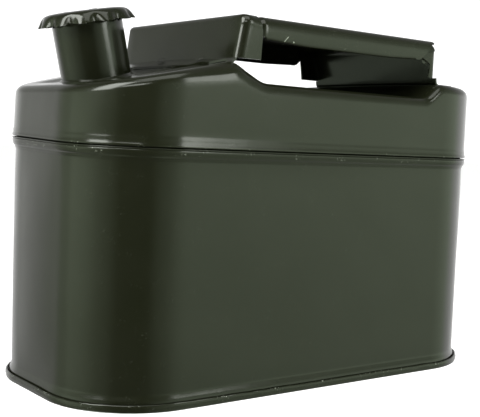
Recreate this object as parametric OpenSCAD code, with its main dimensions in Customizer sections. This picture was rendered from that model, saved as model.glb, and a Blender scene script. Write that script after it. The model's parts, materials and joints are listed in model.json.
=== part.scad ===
// One-gallon sheet-steel gasoline can.
// X runs along the can, with the filler neck towards -X. Y runs across it.
// Z is up, and the origin is the middle of the base, on the ground.

/* [Tank] */
// Length of the lower body over its end walls
body_len = 240; // [220:1:300]
// Width of the lower body over its side walls
body_wid = 120; // [110:1:150]
// Plan radius of the vertical corners
corner_r = 41; // [30:1:50]
// Thickness of the sheet steel
sheet = 1; // [0.8:0.1:1.2]
// Height of the seam between the lower body and the upper shell
seam_z = 114; // [90:1:130]
// How far the base rim stands out from the wall
rim_out = 3; // [2:0.5:4]
// Height of the upturned base rim
rim_h = 4; // [3:0.5:6]

/* [Top of the tank] */
// How far the upper shell stands out past the lower wall
shell_out = 1; // [0.5:0.1:1.5]
// Height of the ridge behind the front slope
ridge_z = 154; // [148:1:160]
// Place of the ridge along the can
ridge_x = -54; // [-60:1:-48]
// Fall of the front slope from the ridge, in degrees
slope_deg = 12.5; // [8:0.5:16]
// Height of the saddle under the handle
saddle_z = 145.5; // [142:0.5:148]
// Radius of the rounded top edges
edge_r = 7; // [4:1:9]

/* [Filler neck and cap] */
// Outer diameter of the filler neck
neck_od = 32; // [28:1:36]
// Length of the neck along its axis, above the front slope
neck_len = 26; // [20:1:32]
// Place of the neck's foot along the can
neck_x = -93; // [-97:1:-88]
// Bore of the threaded ring in the mouth of the neck
mouth_d = 26; // [22:1:27]
// Diameter of the cap over its flutes
cap_d = 44.5; // [42:0.5:50]
// Depth of the cap's skirt
cap_h = 4.5; // [4:0.5:7]
// Number of flutes round the cap
flutes = 12; // [8:1:16]
// Height that one turn of the cap lifts it
pitch = 4; // [3:0.5:5]
// Turns that free the cap
turns = 3.5; // [2:0.5:4]

/* [Handle] */
// Width of the handle across the can
grip_wid = 108; // [90:1:112]
// Height of the top of the grip above the ground
grip_z = 175.2; // [170:0.1:180]
// Depth of the grip's side flanges
flange_h = 11.4; // [8:0.2:14]
// Height of the folded hem inside each flange
hem_h = 3.6; // [2:0.2:5]
// Place of the front panel's top edge along the can
front_x = -47.7; // [-50:0.1:-44]
// Place of the rear panel's top edge along the can
rear_x = 75.5; // [70:0.5:80]
// Lean of the two panels from upright, in degrees
panel_lean = 9; // [4:1:12]
// Width of the side returns of the legs
return_w = 11.5; // [8:0.5:16]

/* [Hidden] */
$fn = 96;
half_len = body_len / 2;
half_wid = body_wid / 2;
straight_x = half_len - corner_r; // centres of the corner radii
straight_y = half_wid - corner_r;

// Lower body and base
foot_h = 7;                       // height of the flared foot of the wall
foot_in = 1;                      // how far the wall necks in above the foot
slot = rim_out - sheet;           // clear width between wall and rim
panel_lift = 1.5;                 // raised middle of the bottom pan
panel_in = 13;                    // width of the flat band round it
bead_low = seam_z - 3.5;          // shoulder bead under the seam
bead_out = 1.2;
joggle_in = sheet + 0.2;          // wall set in to enter the upper shell
joggle_h = 7;

// Upper shell
lip_out = 1.7;                    // flare of the lip at the seam
lip_low = seam_z + 0.8;
lip_h = 4.5;
shell_foot = lip_low + 2;         // where the pressed form starts, inside the lip
wall_top = 131;                   // the walls are upright to here
shell_top = 153.5;                // rear deck
deck_x = 78;                      // front edge of the rear deck
ramp_x = 66;                      // foot of the ramp behind the saddle
saddle_x = -37.5;                 // front end of the flat saddle
roof = 1.6;                       // thickness left over the hollow, past the rounded edges
roof_in = 2.8;                    // how far the roof's hollow keeps inside the wall

// Neck: a frame that leans forward with the slope
foot_z = ridge_z - (ridge_x - neck_x) * tan(slope_deg);
neck_wall = 1.2;
neck_r = neck_od / 2;
neck_in = 8;                      // length of the neck below the slope
ring_h = 11;                      // threaded ring
ring_gap = 0.05;                  // running fit of the plug's thread
plug_r = mouth_d / 2 - ring_gap;
plug_h = pitch * turns - 2.5;      // short enough to come clear of the ring in those turns
gasket_h = 2;
seat_gap = 0.3;                   // gap between gasket and mouth
cap_r = cap_d / 2;
flute_r = 4.6;
disc_r = cap_r - 3.2;             // flat top of the cap
cap_seat = neck_len + seat_gap + gasket_h;   // underside of the cap's disc

// Handle
hw = grip_wid / 2;
bend_r = 4;                       // outer radius of the grip's long bends
flange_z = grip_z - flange_h;
paint = 0.15;                     // gap between a foot and the surface under it
grip_front = front_x + sheet + 0.2;
grip_rear = rear_x;
hem_front = front_x + return_w + 1;
hem_rear = rear_x - return_w - 2;
top_lap = 9;                      // front leg's flange over the grip
panel_low_z = 156.2;              // bottom corner of the front returns
panel_low_x = front_x - (grip_z - panel_low_z) * tan(panel_lean);
front_foot_x = ridge_x + 1;       // where the front panel turns into its foot
front_foot_z = ridge_z + paint + (front_foot_x - ridge_x) * tan(slope_deg);
foot_len = 12;
foot_end_x = front_foot_x - foot_len;
foot_end_z = front_foot_z - foot_len * tan(slope_deg);
deck_z = shell_top + paint;
rear_top_z = grip_z - sheet;
rear_foot_x = rear_x + (rear_top_z - deck_z) * tan(panel_lean);
return_low = 157.2;               // underside of the rear returns

// Spot welds
nugget_r = 2.2;
nugget_h = 0.4;

enamel = [0.20, 0.22, 0.16];
bare = [0.55, 0.55, 0.53];

// ---------- shared shapes ----------

// Solid rounded rectangle, grown by `out` past the lower wall.
module slab(out, height) {
    r = corner_r + out;
    linear_extrude(height) union() {
        square([2 * straight_x, 2 * (straight_y + r)], center = true);
        square([2 * (straight_x + r), 2 * straight_y], center = true);
        for (sx = [-1, 1], sy = [-1, 1])
            translate([sx * straight_x, sy * straight_y]) circle(r);
    }
}

// Carries a profile round the wall: its x is the offset from the wall, its y is the height.
module round_wall() {
    for (sx = [0, 1], sy = [0, 1])
        mirror([sx, 0, 0]) mirror([0, sy, 0]) translate([straight_x, straight_y, 0])
            rotate_extrude(angle = 90) translate([corner_r, 0]) children();
    for (side = [0, 1]) mirror([0, side, 0])
        translate([straight_x, half_wid, 0]) rotate([90, 0, -90]) mirror([1, 0, 0])
            linear_extrude(2 * straight_x) children();
    for (end = [0, 1]) mirror([end, 0, 0])
        translate([half_len, straight_y, 0]) rotate([90, 0, 0])
            linear_extrude(2 * straight_y) children();
}

// Moves its children into the neck's leaning frame.
module on_neck() {
    translate([neck_x, 0, foot_z]) rotate([0, -slope_deg, 0]) children();
}

module tube(r_out, r_in, height) {
    difference() {
        cylinder(r = r_out, h = height);
        translate([0, 0, -1]) cylinder(r = r_in, h = height + 2);
    }
}

// ---------- tank ----------

module bottom_pan() color(enamel)
    difference() {
        union() {
            difference() {
                slab(rim_out, rim_h);
                translate([0, 0, sheet]) slab(slot, rim_h);
            }
            slab(-panel_in, panel_lift + sheet);
        }
        translate([0, 0, -1]) slab(-panel_in - sheet, 1 + panel_lift);
    }

module base_weld() color(enamel)
    round_wall() polygon([[sheet + 0.1, sheet], [slot, sheet], [slot, sheet + 0.9]]);

module lower_body() color(enamel) {
    round_wall() polygon([
        [-sheet, sheet], [sheet, sheet], [sheet * 0.3, foot_h - 3],
        [-foot_in * 0.5, foot_h], [0, foot_h + 5],
        [0, bead_low - 1], [bead_out, bead_low + 0.8], [bead_out, seam_z - 0.8], [0.2, seam_z],
        [-joggle_in, seam_z + 0.5], [-joggle_in, seam_z + joggle_h],
        [-joggle_in - sheet, seam_z + joggle_h], [-joggle_in - sheet, seam_z - 1],
        [-sheet, bead_low - 2], [-sheet, foot_h + 5], [-sheet - foot_in * 0.5, foot_h]]);
}

// Keeps what lies between two places along the can, above the upright walls.
module between(x0, x1) intersection() {
    translate([x0, -body_wid, wall_top - 1]) cube([x1 - x0, 2 * body_wid, body_wid]);
    children();
}

// Whatever outline is given in the side view, carried right across the can.
module across() translate([0, body_wid, 0]) rotate([90, 0, 0]) linear_extrude(2 * body_wid) children();

// Side view of the shell: front slope, ridge, saddle, ramp and rear deck, with rounded ends.
module side_view() {
    nose_x = -half_len - shell_out + edge_r;
    nose_z = ridge_z - edge_r / cos(slope_deg) - (ridge_x - nose_x) * tan(slope_deg);
    tail_x = half_len + shell_out - edge_r;
    tail_z = shell_top - edge_r;
    translate([nose_x, nose_z]) circle(edge_r);
    translate([tail_x, tail_z]) circle(edge_r);
    polygon([
        [nose_x - edge_r, shell_foot], [tail_x + edge_r, shell_foot], [tail_x + edge_r, tail_z],
        [tail_x, tail_z], [tail_x, shell_top], [deck_x, shell_top], [ramp_x, saddle_z],
        [saddle_x, saddle_z], [ridge_x, ridge_z],
        [nose_x - edge_r * sin(slope_deg), nose_z + edge_r * cos(slope_deg)],
        [nose_x, nose_z], [nose_x - edge_r, nose_z]]);
}

// End view of the shell, with the rounded edges of the ridge and the deck.
module end_view() {
    w = half_wid + shell_out;
    translate([-w, shell_foot]) square([2 * w, ridge_z - edge_r - shell_foot]);
    translate([-w + edge_r, shell_foot]) square([2 * (w - edge_r), ridge_z - shell_foot + 1]);
    for (side = [-1, 1]) translate([side * (w - edge_r), ridge_z - edge_r]) circle(edge_r);
}

// The outer form of the upper shell, as a solid.
module top_form() intersection() {
    translate([0, 0, shell_foot]) slab(shell_out, ridge_z);
    across() side_view();
    translate([-body_len, 0, 0]) rotate([90, 0, 90]) linear_extrude(2 * body_len) end_view();
}

// The hollow of the upper shell: upright walls, then a narrower roof inside the rounded edges.
module top_hollow() {
    translate([0, 0, shell_foot - 4]) slab(shell_out - sheet, wall_top - shell_foot + 4);
    between(ridge_x, body_len) translate([0, 0, wall_top - 2])
        slab(shell_out - sheet, saddle_z - edge_r - wall_top + 2);
    between(deck_x + 2, body_len) translate([0, 0, wall_top - 2])
        slab(shell_out - sheet, shell_top - edge_r - wall_top + 2);
    intersection() {
        translate([0, 0, wall_top - 2]) slab(-roof_in, 40);
        across() polygon([
            [-body_len, wall_top - 2], [body_len, wall_top - 2],
            [body_len, shell_top - roof], [deck_x + 1, shell_top - roof],
            [ramp_x + 1, saddle_z - roof], [saddle_x - 1, saddle_z - roof],
            [ridge_x, ridge_z - roof - 0.3],
            [-body_len, ridge_z - roof - 0.3 - (body_len + ridge_x) * tan(slope_deg)]]);
    }
}

module upper_shell() color(enamel) {
    difference() {
        top_form();
        top_hollow();
        on_neck() translate([0, 0, -neck_in]) cylinder(r = neck_r, h = 3 * neck_in);
    }
    round_wall() polygon([
        [lip_out, lip_low], [lip_out, lip_low + 1.5], [shell_out - 0.4, lip_low + lip_h],
        [0.35, lip_low + lip_h - 0.5], [0.35, lip_low + 1.5], [lip_out - sheet, lip_low]]);
}

module seam_weld() color(enamel)
    round_wall() polygon([
        [-joggle_in, seam_z + 0.6], [0.5, seam_z + 0.1], [0.5, seam_z + 0.7], [-0.2, seam_z + 3],
        [-joggle_in, seam_z + 3]]);

// ---------- neck ----------

module filler_neck() color(enamel)
    on_neck() translate([0, 0, -neck_in]) tube(neck_r, neck_r - neck_wall, neck_in + neck_len);

module neck_weld() color(enamel)
    on_neck() rotate_extrude() polygon([[neck_r, 0.02], [neck_r + 2.2, 0.02], [neck_r, 2]]);

module neck_thread_ring() color(bare)
    on_neck() translate([0, 0, neck_len - ring_h]) tube(neck_r - neck_wall, mouth_d / 2, ring_h);

// ---------- cap ----------

module cap_outline(r, n) {
    circle(r - flute_r * 0.34);
    for (i = [0:n - 1]) rotate(360 / n * i) translate([r - flute_r, 0]) circle(flute_r, $fn = 48);
}

module cap_shell() color(enamel)
    on_neck() translate([0, 0, cap_seat]) {
        cylinder(r1 = disc_r + 1.2, r2 = disc_r, h = sheet + 0.6);
        difference() {
            translate([0, 0, -cap_h + sheet]) linear_extrude(cap_h) cap_outline(cap_r, flutes);
            translate([0, 0, -cap_h]) linear_extrude(cap_h) cap_outline(cap_r - sheet, flutes);
            translate([0, 0, -cap_h]) cylinder(r = cap_r - flute_r, h = cap_h);
        }
    }

module cap_plug() color(bare)
    on_neck() translate([0, 0, cap_seat - gasket_h - plug_h]) difference() {
        cylinder(r = plug_r, h = plug_h + gasket_h);
        translate([0, 0, -1]) cylinder(r = plug_r - 2, h = plug_h + gasket_h + 1 - sheet);
    }

module cap_gasket() color([0.08, 0.08, 0.08])
    on_neck() translate([0, 0, cap_seat - gasket_h]) tube(neck_r + 0.6, plug_r + ring_gap, gasket_h);

module cap_spot_welds() color(enamel)
    on_neck() translate([0, 0, cap_seat + sheet + 0.6])
        for (a = [0, 120, 240]) rotate(a + 30) translate([plug_r * 0.62, 0, 0])
            cylinder(r = nugget_r, h = nugget_h, $fn = 32);

// ---------- handle ----------

// A flat piece of sheet standing along the can: its outline is [x, z], its outer face is at y.
module side_sheet(y, thick, outline) {
    translate([0, y, 0]) rotate([90, 0, 0]) linear_extrude(thick) polygon(outline);
}

// Both sides of whatever is given for the +Y side.
module both_sides() {
    children();
    mirror([0, 1, 0]) children();
}

module handle_grip() color(enamel) {
    translate([grip_front, -hw + bend_r, grip_z - sheet])
        cube([grip_rear - grip_front, grip_wid - 2 * bend_r, sheet]);
    both_sides() {
        side_sheet(hw, sheet, [
            [grip_front, flange_z], [grip_rear - 16, flange_z], [grip_rear - 9, flange_z + 2.5],
            [grip_rear - 3.5, flange_z + flange_h * 0.6], [grip_rear, grip_z - bend_r],
            [grip_front, grip_z - bend_r]]);
        side_sheet(hw - sheet, sheet, [
            [hem_front, flange_z], [hem_rear, flange_z],
            [hem_rear, flange_z + hem_h], [hem_front, flange_z + hem_h]]);
        translate([grip_front, hw - bend_r, grip_z - bend_r]) rotate([90, 0, 90])
            linear_extrude(grip_rear - grip_front) intersection() {
                difference() {
                    circle(bend_r);
                    circle(bend_r - sheet);
                }
                square(bend_r + 1);
            }
    }
}

module handle_front_leg() color(enamel) {
    translate([0, hw + sheet, 0]) rotate([90, 0, 0]) linear_extrude(2 * (hw + sheet)) polygon([
        [panel_low_x, panel_low_z], [front_foot_x - sheet, front_foot_z + sheet * (1 - tan(slope_deg))],
        [foot_end_x, foot_end_z + sheet], [foot_end_x, foot_end_z], [front_foot_x, front_foot_z],
        [panel_low_x + sheet, panel_low_z - 0.3], [front_x + sheet, grip_z],
        [front_x + top_lap, grip_z], [front_x + top_lap, grip_z + sheet],
        [front_x - 0.2, grip_z + sheet]]);
    both_sides() side_sheet(hw + sheet, sheet, [
        [front_x, grip_z], [panel_low_x, panel_low_z], [front_x + return_w - 1.5, panel_low_z + 1.5],
        [front_x + return_w - 1, grip_z - bend_r]]);
}

module handle_rear_leg() color(enamel) {
    translate([0, hw - sheet, 0]) rotate([90, 0, 0]) linear_extrude(2 * (hw - sheet)) polygon([
        [rear_x, rear_top_z], [rear_foot_x, deck_z], [rear_foot_x + foot_len, deck_z],
        [rear_foot_x + foot_len, deck_z + sheet], [rear_foot_x + sheet, deck_z + sheet],
        [rear_x + sheet, rear_top_z]]);
    both_sides() side_sheet(hw - sheet, sheet, [
        [rear_x + 0.5, rear_top_z - bend_r], [rear_foot_x + 0.5, deck_z + 0.5], [rear_foot_x - 1.5, return_low],
        [rear_foot_x - return_w, return_low], [rear_x - return_w + 2, rear_top_z - bend_r]]);
}

module nugget(r = nugget_r) {
    cylinder(r = r, h = nugget_h, $fn = 32);
}

module grip_spot_welds() color(enamel)
    both_sides() for (z = [flange_z + 2, flange_z + 5.6]) {
        translate([front_x + return_w / 2 + 1, hw - sheet, z]) rotate([90, 0, 0]) nugget(1.6);
        translate([rear_x - return_w / 2, hw - 2 * sheet, z]) rotate([90, 0, 0]) nugget(1.6);
    }

module foot_spot_welds() color(enamel)
    for (y = [-36, 0, 36]) {
        translate([foot_end_x, y, foot_end_z + sheet]) rotate([0, -slope_deg, 0])
            translate([foot_len / 2, 0, 0.02]) nugget();
        translate([rear_foot_x + foot_len * 0.6, y, deck_z + sheet]) nugget();
    }

bottom_pan();
base_weld();
lower_body();
upper_shell();
seam_weld();
filler_neck();
neck_weld();
neck_thread_ring();
cap_shell();
cap_plug();
cap_gasket();
cap_spot_welds();
handle_grip();
handle_front_leg();
handle_rear_leg();
grip_spot_welds();
foot_spot_welds();
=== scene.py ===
import json
import math

import bmesh
import bpy
from mathutils import Matrix, Vector, noise


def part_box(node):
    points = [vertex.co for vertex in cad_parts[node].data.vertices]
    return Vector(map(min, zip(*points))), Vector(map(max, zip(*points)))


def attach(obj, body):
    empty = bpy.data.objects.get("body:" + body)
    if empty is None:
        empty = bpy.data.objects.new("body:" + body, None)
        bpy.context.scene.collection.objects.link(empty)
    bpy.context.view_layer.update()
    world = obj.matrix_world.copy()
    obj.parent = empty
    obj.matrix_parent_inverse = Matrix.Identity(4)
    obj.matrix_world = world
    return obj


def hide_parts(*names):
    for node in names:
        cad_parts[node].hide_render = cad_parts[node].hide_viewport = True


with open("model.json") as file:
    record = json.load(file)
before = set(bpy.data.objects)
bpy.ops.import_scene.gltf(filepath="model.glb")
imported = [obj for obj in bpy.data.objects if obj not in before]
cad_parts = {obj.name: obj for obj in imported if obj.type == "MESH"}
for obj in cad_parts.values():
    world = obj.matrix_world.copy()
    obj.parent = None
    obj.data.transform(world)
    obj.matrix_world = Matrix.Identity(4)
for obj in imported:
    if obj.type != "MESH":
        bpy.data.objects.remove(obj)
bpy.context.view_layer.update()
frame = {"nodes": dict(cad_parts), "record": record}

# Shapes are worked out in millimetres and turned into metres when a mesh is made. The materials,
# the camera and the lights are in metres. The neck is at the -X end, which is called the front,
# and the camera stands on the -Y side, which is called near.

MM = 0.001

# ---------- sizes, taken from the frame where it holds them ----------


def box_mm(node):
    """The low and the high corner of a CAD node's box."""
    lo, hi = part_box(node)
    return Vector(lo) / MM, Vector(hi) / MM


SHEET = 1.0
RIM_OUT = 3.0  # from the wall to the outside of the pan's rim
CORNER_R = 41.0  # the tank's corners, seen from above
PAN_HI = box_mm("bottom_pan")[1]
RIM_H = PAN_HI.z
HALF_LEN = PAN_HI.x - RIM_OUT
HALF_WID = PAN_HI.y - RIM_OUT
STRAIGHT_X = HALF_LEN - CORNER_R
STRAIGHT_Y = HALF_WID - CORNER_R
RECESS_IN = 13.5  # from the wall to the recessed panel of the base
RECESS_Z = 1.5

JOGGLE_TOP = box_mm("lower_body")[1].z
SEAM_Z = JOGGLE_TOP - 7
SEAM_CLIMB = 2.2
SHELL_LO, SHELL_HI = box_mm("upper_shell")
SHELL_OUT = 1.0  # from the lower wall to the upper shell's skirt
LIP_OUT = SHELL_HI.x - HALF_LEN

RIDGE_X, RIDGE_Z = -54.0, SHELL_HI.z
SADDLE_Z = 145.5
DECK_Z = 153.5
# Side view of the top, along its near edge: front slope, ridge, saddle, ramp and deck.
TOP_LINE = [
    (-HALF_LEN, 139.0), (-85, 147.3), (RIDGE_X, RIDGE_Z + 0.3), (-38.5, SADDLE_Z),
    (66, SADDLE_Z), (76.3, DECK_Z), (98, DECK_Z - 0.6), (HALF_LEN, DECK_Z - 1.5)]
# Radius of the bend between wall and roof, from the front end to the rear end.
EDGE_BENDS = [
    (-HALF_LEN, 3.5), (-88, 4.5), (-62, 7.5), (-48, 8.0), (-38, 5.5), (60, 5.0), (95, 5.0),
    (HALF_LEN, 4.0)]
# The middle line of the roof, where the rows of its mesh end.
SPINE_FRONT, SPINE_REAR = -68.0, STRAIGHT_X

MOUTH = {m["name"]: m for m in frame["record"]["mounts"]}["neck_mouth"]
NECK_AXIS = Vector(MOUTH["axis"]).normalized()
NECK_LEN = 26.0
NECK_R = 16.0
NECK_WALL = 1.2
NECK_FOOT = Vector(MOUTH["pos_m"]) / MM - NECK_AXIS * NECK_LEN
BORE_R = 13.0  # crests of the thread in the mouth
PITCH = 4.0
CAP_SEAT = 28.3  # underside of the cap's top, on the neck's axis
CAP_R = 22.2
LOBES = 12

GRIP_LO, GRIP_HI = box_mm("handle_grip")
HALF_GRIP = GRIP_HI.y
GRIP_TOP = GRIP_HI.z + 1.3  # a little higher than the CAD, as measured in the photo
GRIP_FRONT = GRIP_LO.x
GRIP_REAR = GRIP_HI.x + 1.6
GRIP_BEND = 5.6
FLANGE_Z = GRIP_LO.z
HEM_END = GRIP_REAR - 16  # the hems stop here, where the flanges start to sweep up
FRONT_X = GRIP_FRONT - 1.2  # outer face of the front panel at its top
LAP_X = FRONT_X + 10.2  # where the front leg's lap over the grip ends
LEAN = math.tan(math.radians(9))
FOOT_INSET = 2.0  # how much narrower each foot is than its leg, on each side
FRONT_LOW, REAR_LOW = 156.4, 157.2  # lower edges of the legs' side returns
FRONT_TUCK, REAR_TUCK = 0.9, 3.0  # how far those edges are drawn in

SHARP = 35  # degrees: a flatter edge than this is shaded smooth
MERGE, DEGENERATE = 2e-6, 1e-7  # metres: closer points are merged, shorter edges are dissolved

# ---------- mesh helpers ----------


def smooth(value):
    """0 below 0, 1 above 1 and an easy step between."""
    value = min(1.0, max(0.0, value))
    return value * value * (3 - 2 * value)


def wave(x, y, z, scale, seed=0.0):
    """Smooth noise from -1 to 1 whose lumps are about `scale` millimetres across."""
    return noise.noise(Vector((x / scale + seed, y / scale - seed, z / scale)))


def clean_mesh(name, net):
    """A mesh in metres from a net in millimetres, its doubles merged and its normals outwards."""
    verts, faces = net
    mesh = bpy.data.meshes.new(name)
    mesh.from_pydata([tuple(Vector(v) * MM) for v in verts], [], faces)
    bm = bmesh.new()
    bm.from_mesh(mesh)
    bmesh.ops.remove_doubles(bm, verts=bm.verts, dist=MERGE)
    bmesh.ops.dissolve_degenerate(bm, edges=bm.edges, dist=DEGENERATE)
    bmesh.ops.recalc_face_normals(bm, faces=bm.faces)
    bm.to_mesh(mesh)
    bm.free()
    return mesh


def shade(mesh, sharp=SHARP):
    """Smooth shading, with the edges above this angle kept sharp."""
    mesh.shade_smooth()
    mesh.set_sharp_from_angle(angle=math.radians(sharp))


def piece(name, net, body, stands_for, material, sharp=SHARP):
    """A finished piece on its body, standing for these CAD nodes."""
    mesh = clean_mesh(name, net)
    obj = bpy.data.objects.new(name, mesh)
    bpy.context.collection.objects.link(obj)
    shade(mesh, sharp)
    mesh.materials.append(material)
    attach(obj, body)
    if stands_for:
        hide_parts(*stands_for)
    return obj


def mark_wear(obj, share):
    """How worn the enamel is at each vertex: one share, or a rule from its place."""
    layer = obj.data.attributes.new("wear", "FLOAT", "POINT")
    for v, item in zip(obj.data.vertices, layer.data):
        item.value = share(v.co / MM) if callable(share) else share


def enamelled(name, net, stands_for, wear, body="can", sharp=SHARP):
    """An enamelled piece from a closed net."""
    obj = piece(name, net, body, stands_for, ENAMEL, sharp)
    mark_wear(obj, wear)
    return obj


def pressing(name, net, way, stands_for, wear, hole=None):
    """An enamelled sheet from its outer skin, most of which faces `way`."""
    obj = piece(name, net, "can", stands_for, ENAMEL)
    if sum(f.normal.dot(way) * f.area for f in obj.data.polygons) < 0:
        obj.data.flip_normals()
    sheet = obj.modifiers.new("sheet", "SOLIDIFY")
    sheet.thickness = SHEET * MM
    sheet.offset = -1
    sheet.use_even_offset = False
    settle(obj)
    if hole:
        cut_round(obj, *hole)
    mark_wear(obj, wear)
    return obj


def settle(obj):
    """Applies the modifiers of an object."""
    graph = bpy.context.evaluated_depsgraph_get()
    mesh = bpy.data.meshes.new_from_object(obj.evaluated_get(graph))
    obj.modifiers.clear()
    obj.data = mesh
    shade(mesh)


def cut_round(obj, radius, low, high):
    """Cuts a round hole on the neck's axis."""
    net = lathe([(0, low), (radius, low), (radius, high), (0, high)], 72)
    cutter = bpy.data.objects.new("cutter", clean_mesh("cutter", net))
    bpy.context.collection.objects.link(cutter)
    hole = obj.modifiers.new("hole", "BOOLEAN")
    hole.operation = "DIFFERENCE"
    hole.solver = "EXACT"
    hole.object = cutter
    settle(obj)
    bpy.data.objects.remove(cutter)


def join(objs, name, nodes):
    """Joins finished pieces into one, which stands for these nodes."""
    with bpy.context.temp_override(active_object=objs[0], selected_editable_objects=objs):
        bpy.ops.object.join()
    objs[0].name = name
    objs[0].data.name = name
    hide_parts(*nodes)


def grid(rows, close_rows=False, close_cols=False):
    """Vertices and quads of a net of rows, each a list of points."""
    n, m = len(rows), len(rows[0])
    verts = [p for row in rows for p in row]
    faces = []
    for i in range(n if close_rows else n - 1):
        for j in range(m if close_cols else m - 1):
            a, b = i * m + j, i * m + (j + 1) % m
            c, d = ((i + 1) % n) * m + (j + 1) % m, ((i + 1) % n) * m + j
            faces.append((a, b, c, d))
    return verts, faces


def rounded(points, radius, steps=3, closed=True):
    """The outline with each corner turned on a small curve."""
    out = []
    n = len(points)
    for i, p in enumerate(points):
        p = Vector(p)
        if not closed and i in (0, n - 1):
            out.append(tuple(p))
            continue
        a, b = Vector(points[i - 1]), Vector(points[(i + 1) % n])
        start = p + (a - p).normalized() * min(radius, 0.45 * (a - p).length)
        end = p + (b - p).normalized() * min(radius, 0.45 * (b - p).length)
        for k in range(steps + 1):
            t = k / steps
            out.append(tuple(start * (1 - t) ** 2 + p * 2 * t * (1 - t) + end * t * t))
    return out


def finely(points, longest):
    """The closed outline with its long stretches cut into shorter ones."""
    out = []
    for i, p in enumerate(points):
        a, b = Vector(p), Vector(points[(i + 1) % len(points)])
        cuts = max(1, math.ceil((b - a).length / longest))
        out += [tuple(a.lerp(b, k / cuts)) for k in range(cuts)]
    return out


def neck_ray(angle):
    """The direction at this angle round the neck, square to its axis."""
    across = Vector((0, 1, 0))
    along = across.cross(NECK_AXIS)
    return along * math.cos(angle) + across * math.sin(angle)


def round_turn(count):
    """Equally spaced angles round a full turn."""
    return [2 * math.pi * k / count for k in range(count)]


def lathe(profile, segments=96, shift=None):
    """A closed outline (radius, height on the neck's axis) turned about that axis."""
    rows = []
    for angle in round_turn(segments):
        ray = neck_ray(angle)
        row = []
        for r, s in profile:
            if shift:
                r, s = shift(r, s, angle)
            row.append(NECK_FOOT + ray * r + NECK_AXIS * s)
        rows.append(row)
    return grid(rows, close_rows=True, close_cols=True)


# ---------- plan of the tank ----------


def side_places():
    """Places along a long side, closer together where the top bends."""
    bends = ((RIDGE_X, 9), (-39.5, 8), (66, 8), (76, 8))  # (place, reach on either side)
    fine_step, coarse_step = 1.3, 3.6
    places, x = [], -STRAIGHT_X
    while x < STRAIGHT_X - 0.5:
        places.append(x)
        x += fine_step if any(abs(x - bend) < reach for bend, reach in bends) else coarse_step
    return places + [STRAIGHT_X]


def stations(turn_n=22, end_n=12):
    """Stations round the wall: a point of the inner rectangle and the outward normal."""
    out = []
    side = side_places()
    ends = [STRAIGHT_Y * (2 * k / end_n - 1) for k in range(end_n + 1)]

    def turn(sx, sy, start):
        for k in range(1, turn_n):
            a = math.radians(start + 90 * k / turn_n)
            out.append((sx * STRAIGHT_X, sy * STRAIGHT_Y, math.cos(a), math.sin(a)))

    out += [(STRAIGHT_X, y, 1, 0) for y in ends]
    turn(1, 1, 0)
    out += [(x, STRAIGHT_Y, 0, 1) for x in reversed(side)]
    turn(-1, 1, 90)
    out += [(-STRAIGHT_X, y, -1, 0) for y in reversed(ends)]
    turn(-1, -1, 180)
    out += [(x, -STRAIGHT_Y, 0, -1) for x in side]
    turn(1, -1, 270)
    return out


STATIONS = stations()


def at_offset(station, out):
    """The plan point that stands `out` past the lower wall."""
    cx, cy, nx, ny = station
    return cx + nx * (CORNER_R + out), cy + ny * (CORNER_R + out)


def towards_spine(station, inset, share):
    """A plan point on the way from the edge, `inset` inside the wall, to the middle line."""
    x, y = at_offset(station, -inset)
    spine_x = min(max(station[0], SPINE_FRONT), SPINE_REAR)
    return x + (spine_x - x) * share, y * (1 - share)


def round_wall(profile, wobble):
    """A closed outline (offset, height) carried round the wall; `wobble` displaces its points."""
    rows = []
    for station in STATIONS:
        row = []
        for out, z in profile:
            out, z = wobble(out, z, *at_offset(station, out), station)
            row.append((*at_offset(station, out), z))
        rows.append(row)
    return grid(rows, close_rows=True, close_cols=True)


def seam_rise(x, y, z):
    """How far the seam climbs towards the far corner of the front end."""
    near_seam = 1 - smooth(abs(z - SEAM_Z) / 30)
    return SEAM_CLIMB * near_seam * smooth((y + 60) / 120) * smooth((-x - 60) / 60)


def on_line(x, line):
    """The value at x on a line of (x, value) points."""
    x = min(max(x, line[0][0]), line[-1][0])
    for (xa, za), (xb, zb) in zip(line, line[1:]):
        if x <= xb:
            return za + (zb - za) * (x - xa) / (xb - xa)
    return line[-1][1]


def top_height(x, y):
    """Height of the pressed top: the side view with soft bends, a crown across it and a
    shallow dish in the front slope."""
    samples, soft, dish = 8, 4.0, 1.5
    places = [2 * k / samples - 1 for k in range(samples + 1)]
    weights = [1 - abs(u) * 0.9 for u in places]
    z = sum(w * on_line(x + soft * u, TOP_LINE) for u, w in zip(places, weights)) / sum(weights)
    near_ridge = math.exp(-((x - RIDGE_X - 4) / 26) ** 2)
    crown = (0.4 + 1.1 * near_ridge) * (1 - min(1.0, abs(y) / HALF_WID) ** 2)
    crest = 47 - 0.17 * (RIDGE_X - x)
    along_slope = smooth((RIDGE_X - 2 - x) / 10) * smooth((x + 112) / 12)
    return z + crown - dish * smooth((crest - abs(y)) / 10) * along_slope


# ---------- materials ----------


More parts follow.
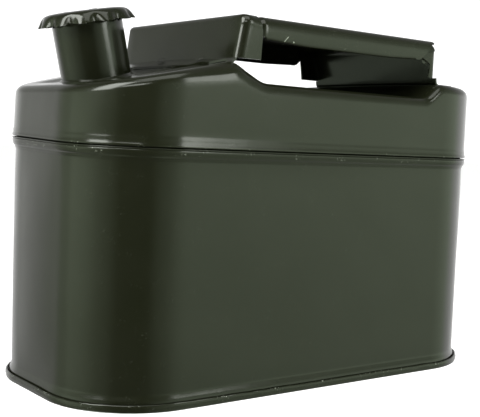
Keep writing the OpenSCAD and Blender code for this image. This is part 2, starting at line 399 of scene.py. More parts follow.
class Nodes:
    """Short names for building a node tree."""

    MIX_A, MIX_B, MIX_RESULT = 6, 7, 2  # the colour sockets of a Mix node

    def __init__(self, tree):
        self.tree = tree

    def add(self, kind, **settings):
        node = self.tree.nodes.new(kind)
        for key, value in settings.items():
            setattr(node, key, value)
        return node

    def feed(self, socket, value):
        """Sets a socket to a number, a vector or a colour, or links another node's output to it."""
        if isinstance(value, bpy.types.NodeSocket):
            self.tree.links.new(value, socket)
        elif isinstance(value, tuple):
            missing = len(socket.default_value) - len(value)
            socket.default_value = value + (1,) * missing
        else:
            socket.default_value = value

    def spread(self, source, low, high, to_low=0.0, to_high=1.0):
        node = self.add("ShaderNodeMapRange")
        for socket, value in zip(node.inputs, (source, low, high, to_low, to_high)):
            self.feed(socket, value)
        return node.outputs["Result"]

    def math(self, operation, a, b=0.0):
        node = self.add("ShaderNodeMath", operation=operation)
        self.feed(node.inputs[0], a)
        self.feed(node.inputs[1], b)
        return node.outputs[0]

    def mix(self, factor, a, b, blend="MIX"):
        node = self.add("ShaderNodeMix", data_type="RGBA", blend_type=blend)
        self.feed(node.inputs["Factor"], factor)
        self.feed(node.inputs[self.MIX_A], a)
        self.feed(node.inputs[self.MIX_B], b)
        return node.outputs[self.MIX_RESULT]


class Material(Nodes):
    """A material: one shader, and patterns laid out in the object's own coordinates."""

    def __init__(self, name):
        self.mat = bpy.data.materials.new(name)
        self.mat.use_nodes = True
        super().__init__(self.mat.node_tree)
        self.shader = self.tree.nodes["Principled BSDF"]
        self.place = self.add("ShaderNodeTexCoord").outputs["Object"]

    def set(self, **looks):
        """Feeds the shader's sockets: Base_Color stands for the socket Base Color."""
        for name, value in looks.items():
            self.feed(self.shader.inputs[name.replace("_", " ")], value)

    def noise(self, scale, detail=2.0, rough=0.5, stretch=None):
        source = self.place
        if stretch:
            mapping = self.add("ShaderNodeMapping")
            self.feed(mapping.inputs["Vector"], source)
            self.feed(mapping.inputs["Scale"], stretch)
            source = mapping.outputs["Vector"]
        node = self.add("ShaderNodeTexNoise")
        self.feed(node.inputs["Vector"], source)
        self.feed(node.inputs["Scale"], scale)
        self.feed(node.inputs["Detail"], detail)
        self.feed(node.inputs["Roughness"], rough)
        return node.outputs["Fac"]

    def bump(self, *heights):
        """Stacks (height, depth in metres) pairs into one normal."""
        normal = None
        for height, depth in heights:
            node = self.add("ShaderNodeBump")
            self.feed(node.inputs["Strength"], 1.0)
            self.feed(node.inputs["Distance"], depth)
            self.feed(node.inputs["Height"], height)
            if normal:
                self.feed(node.inputs["Normal"], normal)
            normal = node.outputs["Normal"]
        self.set(Normal=normal)


OLIVE = (0.0106, 0.0120, 0.0062)
OLIVE_DEEP = (0.0092, 0.0106, 0.0050)
CHIP = (0.26, 0.28, 0.23)


def scratches(m):
    """A short slanting scratch and a nick beside it, on the near flange of the grip."""
    split = m.add("ShaderNodeSeparateXYZ")
    m.feed(split.inputs["Vector"], m.place)
    x, y, z = split.outputs

    def within(value, centre, half):
        return m.math("LESS_THAN", m.math("ABSOLUTE", m.math("SUBTRACT", value, centre)), half)

    slant, middle_x, middle_z = 0.9, -0.0240, 0.1670
    across = within(m.math("SUBTRACT", x, m.math("MULTIPLY", z, slant)), middle_x - slant * middle_z, 0.00026)
    line = m.math("MULTIPLY", across, within(z, 0.1672, 0.0013))
    nick = m.math("MULTIPLY", within(x, -0.0195, 0.00035), within(z, 0.1662, 0.00035))
    near = m.math("LESS_THAN", y, -0.05)
    return m.math("MULTIPLY", m.math("MAXIMUM", line, nick), near)


def enamel():
    """Olive enamel, faintly mottled, with pale chips where a piece is marked as worn."""
    m = Material("olive_enamel")
    mottle = m.spread(m.noise(38, 3), 0.35, 0.65)
    coat = m.mix(mottle, OLIVE_DEEP, OLIVE)
    wear = m.add("ShaderNodeAttribute", attribute_name="wear").outputs["Fac"]
    grit = m.spread(m.noise(1100, 3, 0.6), 0.60, 0.66)
    patch = m.spread(m.noise(170, 2), 0.54, 0.60)
    chipped = m.math("MULTIPLY", m.math("MULTIPLY", grit, patch), wear)
    marks = m.math("MAXIMUM", chipped, scratches(m))
    m.set(Base_Color=m.mix(marks, coat, CHIP), Roughness=m.spread(m.noise(60, 3), 0.3, 0.7, 0.14, 0.20))
    m.set(IOR=1.5, Specular_Tint=(0.96, 1.0, 0.92))
    m.bump((m.noise(620, 2), 0.000012), (m.noise(55, 1), 0.00009))
    return m.mat


def zinc():
    """Bare plated steel, inside the mouth and under the cap."""
    m = Material("zinc_steel")
    spangle = m.spread(m.noise(160, 2), 0.35, 0.65)
    m.set(Base_Color=m.mix(spangle, (0.44, 0.44, 0.42), (0.60, 0.60, 0.57)), Metallic=1.0)
    m.set(Roughness=m.spread(m.noise(90, 3), 0.3, 0.7, 0.28, 0.45))
    m.bump((m.noise(900, 2, stretch=(1, 1, 4)), 0.00001))
    return m.mat


def rubber():
    """The cap's black sealing washer."""
    m = Material("black_rubber")
    dust = m.spread(m.noise(300, 4), 0.45, 0.7)
    m.set(Base_Color=m.mix(dust, (0.012, 0.012, 0.012), (0.035, 0.034, 0.032)))
    m.set(Roughness=m.spread(m.noise(120, 2), 0.3, 0.7, 0.55, 0.75))
    m.bump((m.noise(1500, 3), 0.00003))
    return m.mat


ENAMEL = enamel()
ZINC = zinc()
RUBBER = rubber()

# ---------- tank ----------


def bottom_pan():
    """The pan with its upturned rim, whose lip is hammered and a little wavy."""
    rim = rounded([
        (2.0, SHEET), (1.9, RIM_H - 0.5), (2.2, RIM_H), (2.75, RIM_H - 0.1), (RIM_OUT, RIM_H - 1.2),
        (RIM_OUT - 0.05, 1.5), (2.65, 0.45), (2.1, 0.0)], 0.4)
    under = [(-4, 0), (1.5 - RECESS_IN, 0), (-RECESS_IN, RECESS_Z)]
    inside = [(out, z + SHEET) for out, z in reversed(under)]
    shares = (0.25, 0.5, 0.75, 1)
    rows = []
    for station in STATIONS:
        row = []
        for out, z in rim + under:
            x, y = at_offset(station, out)
            if z > 2 and out > 0:
                dent = wave(x, y, 0, 11, 3.0) * 0.55 + wave(x, y, 0, 4, 9.0) * 0.3
                z += dent * 0.5 - 0.35
                out += dent * 0.25 - 0.25
            elif out > 2.5:
                out -= 0.2 + 0.15 * abs(wave(x, y, 5, 14))
            row.append((*at_offset(station, out), z))
        row += [(*towards_spine(station, RECESS_IN, share), RECESS_Z) for share in shares]
        row += [(*towards_spine(station, RECESS_IN, share), RECESS_Z + SHEET) for share in reversed(shares)]
        rows.append(row + [(*at_offset(station, out), z) for out, z in inside])
    net = grid(rows, close_rows=True, close_cols=True)
    enamelled("base_pan_pressing", net, ["bottom_pan"], lambda p: 1.0 if p.z > 2.6 else 0.15)


def lower_body():
    """The wall: a flared foot, a long flat, the bead under the seam and the joggle behind it."""
    bead = SEAM_Z - 3.5
    foot = [(-1.0, 1.0), (1.0, 1.0), (1.0, 3.6), (0.75, 4.8), (-0.1, 7.2), (-0.05, 9.5), (0, 14)]
    shoulder = [
        (0, bead - 1.6), (0.35, bead - 1.0), (0.45, bead - 0.3), (1.05, bead + 0.2), (1.5, bead + 1.6),
        (1.6, SEAM_Z - 0.9), (1.4, SEAM_Z - 0.35), (0.2, SEAM_Z - 0.15)]
    joggle = [(-1.2, SEAM_Z + 0.5), (-1.2, JOGGLE_TOP), (-2.2, JOGGLE_TOP), (-2.2, SEAM_Z - 1)]
    inside = [(-1, bead - 2), (-1, 12), (-1.5, 7)]
    outline = finely(rounded(foot + shoulder + joggle + inside, 0.6), 7)

    def buckle(out, z, x, y, station):
        """Long sides drawn in, end walls bowed out, and ripples; none of it at foot or seam."""
        cx, cy, nx, ny = station
        fade = max(0.0, min(1.0, z / 25, (SEAM_Z - z) / 12))
        ripple = 0.35 * wave(x, y, z * 0.7, 60, 1.0) + 0.10 * wave(x, y, z, 22, 5.0)
        drawn_in = 0.45 * (1 - min(1.0, abs(cx) / STRAIGHT_X) ** 2) * abs(ny)
        bow = 0.55 * (1 - (cy / STRAIGHT_Y) ** 2) * abs(nx)
        return out + fade * (ripple - drawn_in + bow), z + seam_rise(x, y, z)

    enamelled("lower_body_wall", round_wall(outline, buckle), ["lower_body"],
        lambda p: 0.5 if abs(p.z - SEAM_Z + 1) < 1.6 else 0.03)


def shell_rows():
    """Rows of the upper shell's outer face, from its lip to the middle line of the roof."""
    lip = [
        (LIP_OUT - 0.2, 0), (LIP_OUT, 0.2), (LIP_OUT, 0.5), (LIP_OUT - 0.1, 1.1), (LIP_OUT - 0.4, 2.0),
        (SHELL_OUT + 0.34, 2.9), (SHELL_OUT + 0.12, 3.9), (SHELL_OUT, 5.2)]
    climb_n, turn_n, roof_n = 9, 11, 22
    start = SHELL_LO.z + lip[-1][1]
    rows = []
    for station in STATIONS:
        row = []
        for out, rise in lip:
            x, y = at_offset(station, out)
            z = SHELL_LO.z + rise
            row.append((x, y, z + seam_rise(x, y, z)))
        x, y = at_offset(station, SHELL_OUT)
        bend = on_line(x, EDGE_BENDS)
        edge = top_height(x, y) - bend
        draft = 0.5 * max(0.0, -station[2])
        for k in range(1, climb_n):
            share = k / climb_n
            z = start + (edge - start) * share
            ripple = 0.22 * math.sin(math.pi * share) * wave(x, y, z, 45, 8.0)
            out = SHELL_OUT - draft * share ** 2 + ripple
            row.append((*at_offset(station, out), z + seam_rise(x, y, z)))
        for k in range(turn_n + 1):
            a = math.pi / 2 * k / turn_n
            x, y = at_offset(station, SHELL_OUT - draft - bend * (1 - math.cos(a)))
            row.append((x, y, top_height(x, y) - bend * (1 - math.sin(a))))
        for k in range(1, roof_n + 1):
            x, y = towards_spine(station, bend - SHELL_OUT + draft, k / roof_n)
            row.append((x, y, top_height(x, y)))
        rows.append(row)
    return rows


def upper_shell():
    """The pressed top, with a hole for the neck."""
    net = grid(shell_rows(), close_rows=True)
    pressing("upper_shell_pressing", net, Vector((0, 0, 1)), ["upper_shell"],
        lambda p: 0.55 if p.z < SHELL_LO.z + 1.0 else 0.03, hole=(NECK_R - 0.1, -9, 9))


def seam_weld():
    """The thin run of braze that closes the seam under the lip."""
    outline = rounded([(-0.6, -0.45), (1.2, -0.5), (1.7, -0.2), (1.75, 0.25), (-0.6, 0.4)], 0.2)

    def swell(out, z, x, y, station):
        z += SEAM_Z
        return out + 0.12 * wave(x, y, 0, 7, 11.0), z + seam_rise(x, y, z)

    enamelled("seam_braze_run", round_wall(outline, swell), ["seam_weld"], 0.05)


# ---------- neck ----------


def filler_neck():
    """The leaning tube, from under the roof to the mouth."""
    inner = NECK_R - NECK_WALL
    outline = rounded([(NECK_R, -8), (NECK_R, NECK_LEN), (inner, NECK_LEN), (inner, -8)], 0.5)
    enamelled("neck_tube", lathe(finely(outline, 4)), ["filler_neck"], 0.02)


def neck_weld():
    """The fillet of braze round the neck's foot, following the roof that it lies on."""
    profile = ((-0.3, 1.1), (0.2, 0.95), (0.55, 0.5), (1.0, 0.2), (1.35, -0.1), (0.8, -0.8), (-0.3, -0.8))
    rows = []
    for angle in round_turn(96):
        swell = 1 + 0.18 * wave(math.cos(angle) * 16, math.sin(angle) * 16, 0, 4)
        row = []
        for r, rise in profile:
            p = NECK_FOOT + neck_ray(angle) * (NECK_R + r * (swell if r > 0 else 1))
            p.z = top_height(p.x, p.y) + rise * swell
            row.append(p)
        rows.append(row)
    net = grid(rows, close_rows=True, close_cols=True)
    enamelled("neck_braze_fillet", net, ["neck_weld"], 0.1, sharp=60)


def threaded(name, node, body, before, radius, low, high, after, depth):
    """A turned part with a helical thread between two heights on one of its radii.

    The crests stay at that radius; the root is `depth` further out, or in if it is negative.
    """
    steps = int((high - low) / 0.35)
    run = [(radius, low + (high - low) * k / steps) for k in range(steps + 1)]

    def cut(r, s, angle):
        if r == radius and low < s < high:
            turn = s / PITCH - angle / (2 * math.pi)
            groove = (0.5 + 0.5 * math.cos(2 * math.pi * turn)) ** 0.8
            r += depth * groove * min(1, (s - low) / 1.2, (high - s) / 1.2)
        return r, s

    net = lathe(before + run + after, shift=cut)
    piece(name, net, body, [node], ZINC, 50)


def neck_thread_ring():
    """The ring with the inside thread, in the mouth of the neck."""
    outer, inner = NECK_R - 1.25, BORE_R + 0.4
    low, high = NECK_LEN - 11, NECK_LEN - 0.05
    before = [(outer, low + 0.3), (outer - 0.3, low), (inner, low)]
    after = [(inner, high), (outer - 0.3, high), (outer, high - 0.3)]
    threaded("neck_thread_insert", "neck_thread_ring", "can", before, BORE_R, low + 0.4, high - 0.45,
        after, 0.8)


# ---------- cap ----------


def flute(r, s, angle):
    """Draws the skirt in between its lobes, more towards its lower edge."""
    if r < 17.5:
        return r, s
    down = min(1.0, max(0.0, (CAP_SEAT + 1.0 - s) / 4.4))
    valley = (0.5 - 0.5 * math.cos(LOBES * angle)) ** 1.7
    return r - 2.1 * valley * down ** 0.8, s + 0.5 * valley * down


def cap_wear(p):
    """The enamel has chipped along the lower edge of the skirt."""
    return 0.9 if (p - NECK_FOOT).dot(NECK_AXIS) < CAP_SEAT - 3.2 else 0.05


def cap_shell():
    """The domed pressing with its fluted skirt."""
    outer = [
        (0, 2.6), (8, 2.45), (13, 2.3), (15.8, 2.1), (17.5, 1.75), (18.8, 1.2), (19.7, 0.4),
        (20.5, -0.6), (21.2, -1.8), (CAP_R - 0.15, -3.15), (CAP_R, -3.5)]
    inner = [
        (CAP_R - 0.5, -3.62), (CAP_R - 0.95, -3.4), (20.3, -1.9), (19.6, -0.9), (18.8, -0.2),
        (17.8, 0), (8, 0), (0, 0)]
    outline = [(r, CAP_SEAT + rise) for r, rise in outer + inner]
    enamelled("cap_pressing", lathe(outline, 240, flute), ["cap_shell"], cap_wear, "cap", 50)


def cap_plug():
    """The cup under the cap, with its outside thread."""
    low, high = CAP_SEAT - 13.5, CAP_SEAT - 0.01
    radius = BORE_R - 0.05
    inner, neck = radius - 2.0, radius - 0.3
    before = [
        (0, CAP_SEAT - 1), (inner, CAP_SEAT - 1), (inner, low + 0.3), (inner + 0.3, low), (radius - 0.9, low)]
    after = [(neck, CAP_SEAT - 2.1), (neck, high), (0, high)]
    threaded("cap_thread_cup", "cap_plug", "cap", before, radius, low + 0.5, CAP_SEAT - 2.4, after, -0.75)


def cap_gasket():
    """The sealing washer between the cap and the mouth."""
    inner, outer = BORE_R + 0.05, NECK_R + 0.55
    low, high = CAP_SEAT - 1.97, CAP_SEAT - 0.03
    outline = rounded([(inner, low), (outer, low), (outer, high), (inner, high)], 0.6, 4)
    piece("cap_seal_washer", lathe(outline), "seal", ["cap_gasket"], RUBBER)


# ---------- spot welds ----------


def nuggets(name, places, radius, height, nodes, body):
    """Shallow domes left by spot welds: each place is a point and an outward normal."""
    rings = [(1.0, -0.15), (0.93, 0.35), (0.8, 0.62), (0.62, 0.7), (0.4, 0.55), (0.2, 0.5)]
    count = 28
    verts, faces = [], []
    for point, normal in places:
        side = normal.orthogonal().normalized()
        other = normal.cross(side)
        base, last = len(verts), len(verts) + (len(rings) - 1) * count
        for share, rise in rings:
            for a in round_turn(count):
                ray = side * math.cos(a) + other * math.sin(a)
                verts.append(point + ray * radius * share + normal * height * rise)
        verts.append(point + normal * height * 0.48)
        verts.append(point - normal * height * 0.15)
        for first in range(base, last, count):
            for k in range(count):
                a, b = first + k, first + (k + 1) % count
                faces.append((a, b, b + count, a + count))
        for k in range(count):
            faces.append((last + k, last + (k + 1) % count, len(verts) - 2))
            faces.append((base + (k + 1) % count, base + k, len(verts) - 1))
    enamelled(name, (verts, faces), nodes, 0.1, body, 60)


def cap_nuggets():
    """Three spot welds that hold the cup to the cap."""
    centre = NECK_FOOT + NECK_AXIS * (CAP_SEAT + 2.42)
    spots = [(centre + neck_ray(math.radians(angle)) * 8, NECK_AXIS) for angle in (30, 150, 270)]
    nuggets("cap_weld_spots", spots, 2.0, 0.22, ["cap_spot_welds"], "cap")


def handle_nuggets():
    """The welds through each flange into a leg's return, and those through the feet."""
    spots = []
    for side in (-1, 1):
        for z in (FLANGE_Z + 2, FLANGE_Z + 5.6):
            inward = Vector((0, -side, 0))
            spots.append((Vector((FRONT_X + 6.7, side * (HALF_GRIP - 1.85), z)), inward))
            tuck = REAR_TUCK * (GRIP_TOP - z) / (GRIP_TOP - REAR_LOW)
            spots.append((Vector((GRIP_REAR - 5.7, side * (HALF_GRIP - 2 - tuck), z)), inward))
    nuggets("grip_weld_spots", spots, 1.6, 0.4, ["grip_spot_welds"], "can")
    feet = []
    for y in (-36, 0, 36):
        x = RIDGE_X - 5.5
        rise = (top_height(x + 2, y) - top_height(x - 2, y)) / 4
        feet.append((Vector((x, y, top_height(x, y) + 2.35)), Vector((-rise, 0, 1)).normalized()))
        x = GRIP_REAR + 11
        feet.append((Vector((x, y, top_height(x, y) + 0.58)), Vector((0, 0, 1))))
    nuggets("foot_weld_spots", feet, 2.2, 0.4, ["foot_spot_welds"], "can")


# ---------- handle ----------


def arch(half, top, near_bend, far_bend, flat_n=14, side_n=10, bend_n=8):
    """An arch in the end view from its near foot to its far one: y, z and the normal."""
    def flank(bend):
        points = [(half, (top - bend) * k / side_n, 1, 0) for k in range(side_n)]
        for k in range(bend_n + 1):
            ny, nz = math.cos(math.pi / 2 * k / bend_n), math.sin(math.pi / 2 * k / bend_n)
            points.append((half - bend * (1 - ny), top - bend * (1 - nz), ny, nz))
        return points

    near, far = flank(near_bend), flank(far_bend)
    span = 2 * half - near_bend - far_bend
    flat = [(near_bend - half + span * k / flat_n, top, 0, 1) for k in range(1, flat_n)]
    return [(-y, z, -ny, nz) for y, z, ny, nz in near] + flat + far[::-1]


def flange_low(x):
    """Height of the flange's lower edge: bowed down, then swept up to the rear end."""
    low = FLANGE_Z + 0.9 + 1.2 * (1 - smooth((x + 38) / 30)) + 0.9 * smooth((x - 38) / 30)
    u = min(1.0, max(0.0, (x - GRIP_REAR + 12) / 10.5))
    return low + (GRIP_TOP - low - 1.2) * u ** 1.1


def grip_row(x):
    """The grip's outer skin at x, from the near flange over the top to the far one."""
    run_n, flat_n = 14, 16
    low = flange_low(x)
    if x < HEM_END + 1:
        low += SHEET  # the rest of the flange's height is the fold of the hem
    tuck = SHEET * smooth((LAP_X + 1.6 - x) / 2.2)
    side, top = HALF_GRIP - tuck, GRIP_TOP - tuck
    bend_start = top - GRIP_BEND
    quarter = GRIP_BEND * math.pi / 2
    if low < bend_start:
        total = bend_start - low + quarter
    else:
        total = GRIP_BEND * math.acos(min(1, (low - bend_start) / GRIP_BEND))
    sag = 0.25 * wave(x, 0, 0, 30, 2.0)
    half = []
    for k in range(run_n + 1):
        run = total * (1 - k / run_n)
        turn, drop = min(run / GRIP_BEND, math.pi / 2), max(0.0, run - quarter)
        y = -side + GRIP_BEND * (1 - math.sin(turn)) + sag * drop / 20 + 0.01 * drop * drop
        half.append((x, y, bend_start + GRIP_BEND * math.cos(turn) - drop))
    reach = side - GRIP_BEND
    flat = [(x, 2 * reach * k / flat_n - reach, top) for k in range(1, flat_n)]
    return half + flat + [(a, -b, c) for a, b, c in reversed(half)]


def handle_grip():
    """The channel that the hand holds, joggled where the front leg laps over it."""
    places = [GRIP_FRONT + k * 1.1 for k in range(14)] + [GRIP_FRONT + k * 4 for k in range(4, 26)]
    places += [HEM_END + (GRIP_REAR - HEM_END) * k / 14 for k in range(15)]
    net = grid([grip_row(x) for x in sorted(places)])
    return pressing("grip_channel_sheet", net, Vector((0, 0, 1)), [],
        lambda p: 0.5 if p.z < flange_low(p.x) + 1.6 else 0.06)


def grip_hems():
    """The folded-back strips inside the flanges, each turned over on a radius of one sheet."""
    start, end = FRONT_X + 12.5, HEM_END
    count, hem = 30, 3.6
    turns = [math.pi * k / 8 for k in range(9)]
    profile = [(-math.cos(a), 1 - math.sin(a)) for a in turns]
    profile += [(1, 2), (1, hem - 0.3), (0.7, hem), (0.2, hem), (-0.02, hem - 0.2), (-0.02, 1.4), (-1, 1.1)]
    hems = []
    for side in (-1, 1):
        rows = []
        for k in range(count + 1):
            x = start + (end - start) * k / count
            squeeze = 0.12 * wave(x, side * 50, 0, 12, 6.0)
            row = []
            for inward, rise in profile:
                y = HALF_GRIP - 1 - inward * (1 if inward < 0 else 1 + squeeze)
                row.append((x, side * y, flange_low(x) + rise + (0.15 * squeeze if rise > 2 else 0)))
            rows.append(row)
        verts, faces = grid(rows, close_cols=True)
        n = len(profile)
        faces += [tuple(range(n)), tuple(range(count * n, (count + 1) * n))]
        hems.append(enamelled("hem_%d" % (side + 1), (verts, faces), [],
            lambda p: 0.5 if p.z < FLANGE_Z + 1 else 0.06))
    return hems


def leg_skin(half, top, low, bends, turns, face_x, free_x, way, tuck):
    """A folded leg: side returns and a top lap, rolled into a leaning panel at one end.

    bends are the corner radii at the free edge and, near side then far side, at the panel;
    turns are the radii of the roll into the panel, at the near side and elsewhere.
    face_x is the panel's outer face at the height `top`; way is -1 towards the front.
    free_x gives the free edge from y and z; tuck draws the lower edges of the returns inwards.
    """
    lap_n, roll_n, panel_n = 6, 7, 8
    free_line = arch(half, top, bends[0], bends[0])
    panel_line = arch(half, top, bends[1], bends[2])

    def panel_x(height):
        return face_x + way * (top - height) * LEAN

    def lowered(point, bend):
        y, z, ny, nz = point
        if nz < 0.01:
            z = low + z * (top - bend - low) / (top - bend)
        if abs(y) > half - 0.01:
            y -= math.copysign(tuck * (top - z) / (top - low), y)
        return y, z

    rows = []
    for i, (free, bent) in enumerate(zip(free_line, panel_line)):
        near = i < len(panel_line) / 2
        free_y, free_z = lowered(free, bends[0])
        y, z = lowered(bent, bends[1] if near else bends[2])
        ny, nz = bent[2:]
        turn_r = turns[1] + (turns[0] - turns[1]) * max(0.0, -ny)
        edge = free_x(free_y, free_z)
        start = panel_x(z) - way * turn_r
        row = []
        for k in range(lap_n + 1):
            share = smooth(k / lap_n)
            row.append((edge + (start - edge) * k / lap_n, free_y + (y - free_y) * share,
                free_z + (z - free_z) * share))
        for k in range(1, roll_n + 1):
            angle = math.pi / 2 * k / roll_n
            inset = turn_r * (1 - math.cos(angle))
            height = z - nz * inset
            row.append((panel_x(height) - way * turn_r * (1 - math.sin(angle)), y - ny * inset, height))
        y, z = y - ny * turn_r, z - nz * turn_r
        middle = low + 0.6 * ((z if nz < 0.01 else top - turn_r) - low)
        for k in range(1, panel_n + 1):
            height = z + (middle - z) * k / panel_n
            row.append((panel_x(height), y * (1 - k / panel_n), height))
        rows.append(row)
    return grid(rows)


def across_foot(half, count=30):
    """Places across a foot, which is a little narrower than its leg."""
    return [(half - FOOT_INSET) * (2 * k / count - 1) for k in range(count + 1)]


def front_leg():
    """Front leg: it laps over the joggled end of the grip, and its foot lies on the slope."""
    half, top, low = HALF_GRIP + 0.15, GRIP_TOP + 0.15, FRONT_LOW

    def free_x(y, z):
        hooked = 1.6 * smooth((z - top + 8) / 8)
        return LAP_X - hooked + 0.3 * wave(0, y, z, 9, 4.0)

    net = leg_skin(half, top, low, (GRIP_BEND, 4.6, 2.6), (4.4, 2.3), FRONT_X, free_x, -1, FRONT_TUCK)
    skin = pressing("front_leg_skin", net, Vector((-1, 0, 0.2)), [],
        lambda p: 0.8 if abs(p.y) > half - 1.2 and p.x > LAP_X - 0.6 else 0.04)

    panel_low = FRONT_X - (top - low) * LEAN
    corner_x, corner_z = RIDGE_X + 0.6, RIDGE_Z + 0.3
    path = rounded([(panel_low, low + 0.1), (corner_x, corner_z), (corner_x - 12, 0)], 1.6, 5, closed=False)
    rows = []
    for y in across_foot(half):
        crown = top_height(corner_x, y) - RIDGE_Z
        row = [(x, y, max(z, 0) + crown * min(1, (low - z) / 2)) for x, z in path[:-1]]
        for step in range(1, 9):
            x = corner_x - 1.5 - 10.5 * step / 8
            row.append((x, y, top_height(x, y) + SHEET + 0.15 + 0.25 * abs(wave(x, y, 0, 9))))
        rows.append(row)
    foot = pressing("front_leg_foot", grid(rows), Vector((0, 0, 1)), [],
        lambda p: 0.5 if p.x < corner_x - 11 else 0.06)
    join([skin, foot], "front_leg_sheet", ["handle_front_leg"])


def rear_leg():
    """Rear leg: its returns stand inside the flanges, and its foot lies on the deck."""
    half, top, low = HALF_GRIP - SHEET - 0.05, GRIP_TOP - SHEET - 0.05, REAR_LOW
    bend, face_x = GRIP_BEND - SHEET, GRIP_REAR + SHEET

    def free_x(y, z):
        trimmed = 8.0 * smooth((top - 7 - z) / 5) if y < 0 else 0
        return GRIP_REAR - 9.5 + trimmed + 0.3 * wave(0, y, z, 9, 14.0)

    net = leg_skin(half, top, low, (bend, bend, bend), (3.2, 3.2), face_x, free_x, 1, REAR_TUCK)
    skin = pressing("rear_leg_skin", net, Vector((1, 0, 0.2)), [], 0.04)

    panel_low = face_x + (top - low) * LEAN
    rows = []
    for y in across_foot(half):
        deck = top_height(panel_low + 6, y) + 0.55
        corner_x = panel_low + (low - deck) * LEAN
        path = [(panel_low, low + 0.1), (corner_x, deck), (corner_x + 11, deck)]
        rows.append([(x, y, z) for x, z in rounded(path, 1.6, 5, closed=False)])
    foot = pressing("rear_leg_foot", grid(rows), Vector((0, 0, 1)), [],
        lambda p: 0.3 if p.x > panel_low + 10 else 0.06)
    join([skin, foot], "rear_leg_sheet", ["handle_rear_leg"])


# ---------- stage, in metres ----------

MIDDLE = Vector((0, 0, 0.09))  # the lights look at this point
CAM_AZ, CAM_EL, CAM_ROLL = map(math.radians, (-40.31, 4.75, 2.65))
CAM_PLACE = Vector((-0.3056, -0.4239, 0.1203))
FOCAL = 73.57
SHIFT = (-0.1886, 0.0314)
WHITE = (1.0, 1.0, 1.0)


def heading(azimuth, elevation=0.0):
    """The direction of an azimuth, where 0 is -Y and 90 degrees is +X, both angles in radians."""
    level = math.cos(elevation)
    return Vector((math.sin(azimuth) * level, -math.cos(azimuth) * level, math.sin(elevation)))


def sky_point(azimuth, elevation, distance):
    """A point seen from the middle of the can at this azimuth and elevation, in degrees."""
    return MIDDLE + heading(math.radians(azimuth), math.radians(elevation)) * distance


def camera():
    """The camera that took the photo: its place, its lens and the shift of its cropped frame."""
    back = heading(CAM_AZ, CAM_EL)
    right = (-back).cross(Vector((0, 0, 1))).normalized()
    up = right.cross(-back)
    cos, sin = math.cos(CAM_ROLL), math.sin(CAM_ROLL)
    right, up = right * cos + up * sin, up * cos - right * sin
    data = bpy.data.cameras.new("camera")
    data.sensor_width = 36
    data.lens = FOCAL
    data.shift_x, data.shift_y = SHIFT
    data.clip_start = 0.01
    obj = bpy.data.objects.new("camera", data)
    turned = Matrix((right, up, back)).transposed()
    obj.matrix_world = Matrix.Translation(CAM_PLACE) @ turned.to_4x4()
    bpy.context.collection.objects.link(obj)
    bpy.context.scene.camera = obj


def softbox(name, place, width, height, radiance, mirrored=True):
    """A rectangular light that looks at the middle of the can from `place`."""
    data = bpy.data.lights.new(name, "AREA")
    data.shape = "RECTANGLE"
    data.size, data.size_y = width, height
    data.energy = radiance * math.pi * width * height
    obj = bpy.data.objects.new(name, data)
    obj.location = place
    obj.rotation_euler = (place - MIDDLE).to_track_quat("Z", "Y").to_euler()
    obj.visible_camera = False
    obj.visible_glossy = mirrored
    bpy.context.collection.objects.link(obj)


def floor():
    """A pale floor that glows a little, so it comes out white like the photo's background."""
    paper = Material("pale_floor")
    paper.set(Base_Color=(0.62, 0.62, 0.62), Roughness=0.9, Specular_IOR_Level=0.1)
    paper.set(Emission_Color=WHITE, Emission_Strength=0.84)
    reach = 6.0
    corners = [(-reach, -reach, 0), (reach, -reach, 0), (reach, reach, 0), (-reach, reach, 0)]
    mesh = bpy.data.meshes.new("floor")
    mesh.from_pydata(corners, [], [(0, 1, 2, 3)])
    mesh.materials.append(paper.mat)
    obj = bpy.data.objects.new("floor", mesh)
    bpy.context.collection.objects.link(obj)
    obj.visible_glossy = False


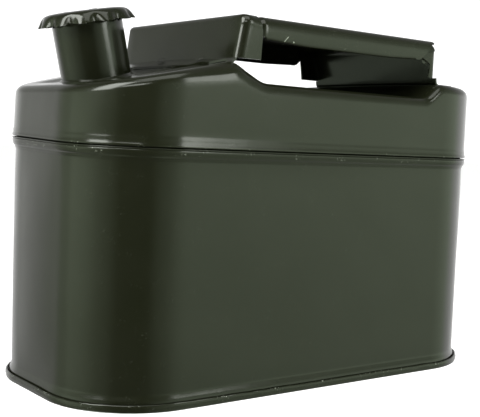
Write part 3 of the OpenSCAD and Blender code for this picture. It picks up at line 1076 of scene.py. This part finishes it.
def studio_world():
    """White room with a soft dark gap where the viewer stands, dimmer overhead and below."""
    world = bpy.data.worlds.new("studio")
    world.use_nodes = True
    w = Nodes(world.node_tree)
    way = w.add("ShaderNodeTexCoord").outputs["Generated"]

    def vector(operation, a, b=None):
        node = w.add("ShaderNodeVectorMath", operation=operation)
        w.feed(node.inputs[0], a)
        if b:
            w.feed(node.inputs[1], b)
        return node.outputs["Value" if operation == "DOT_PRODUCT" else "Vector"]

    def ramp(source, *stops):
        """A ramp of greys over 0 to 1, from (place, value) pairs."""
        node = w.add("ShaderNodeValToRGB")
        w.feed(node.inputs["Fac"], source)
        elements = node.color_ramp.elements
        while len(elements) < len(stops):
            elements.new(1.0)
        for element, (place, value) in zip(elements, stops):
            element.position = place
            element.color = (value, value, value, 1)
        return node.outputs["Color"]

    level = vector("NORMALIZE", vector("MULTIPLY", way, (1, 1, 0)))
    facing = vector("DOT_PRODUCT", level, tuple(heading(math.radians(-35))))
    behind = vector("DOT_PRODUCT", level, tuple(heading(math.radians(-143))))
    height = vector("DOT_PRODUCT", way, (0, 0, 1))
    gap = ramp(facing, (0, 1.0), (0.35, 0.95), (0.545, 0.76), (0.72, 0.46), (0.857, 0.27), (0.951, 0.0))
    shade = ramp(behind, (0.7, 1.0), (0.93, 0.92), (0.974, 0.60), (1.0, 0.50))
    fall = ramp(w.spread(height, -1.0, 1.0), (0.30, 0.45), (0.405, 0.70), (0.465, 0.86), (0.5, 1.0),
        (0.545, 1.0), (0.63, 0.5), (0.82, 0.2), (1.0, 0.08))
    light = w.mix(1.0, w.mix(1.0, gap, shade, "MULTIPLY"), fall, "MULTIPLY")
    light = w.mix(w.spread(facing, -0.5, -0.25), light, (0.87, 1.0, 0.80), "MULTIPLY")
    seen = w.add("ShaderNodeLightPath").outputs["Is Camera Ray"]
    background = w.tree.nodes["Background"]
    w.feed(background.inputs["Color"], w.mix(seen, light, WHITE))
    w.feed(background.inputs["Strength"], 1.35)
    bpy.context.scene.world = world


def stage():
    """Floor, room and lights; each light has its width, height and radiance."""
    floor()
    studio_world()
    bpy.context.scene.view_settings.view_transform = "Standard"
    softbox("left_softbox", sky_point(-82, 38, 1.2), 0.5, 1.0, 9)
    softbox("right_softbox", Vector((0.22, -0.58, 0.385)), 0.18, 0.38, 5)
    softbox("front_softbox", sky_point(-48, 30, 1.2), 0.55, 0.22, 7)
    softbox("top_light", sky_point(-20, 72, 1.4), 0.9, 0.9, 2)
    softbox("right_fill", sky_point(60, 45, 1.4), 0.6, 0.6, 4, mirrored=False)


# ---------- everything ----------

bottom_pan()
lower_body()
upper_shell()
seam_weld()
base_weld = frame["nodes"]["base_weld"]
base_weld.data.materials.clear()
base_weld.data.materials.append(ENAMEL)
filler_neck()
neck_weld()
neck_thread_ring()
cap_shell()
cap_plug()
cap_gasket()
cap_nuggets()
join([handle_grip()] + grip_hems(), "grip_sheet", ["handle_grip"])
front_leg()
rear_leg()
handle_nuggets()
camera()
stage()
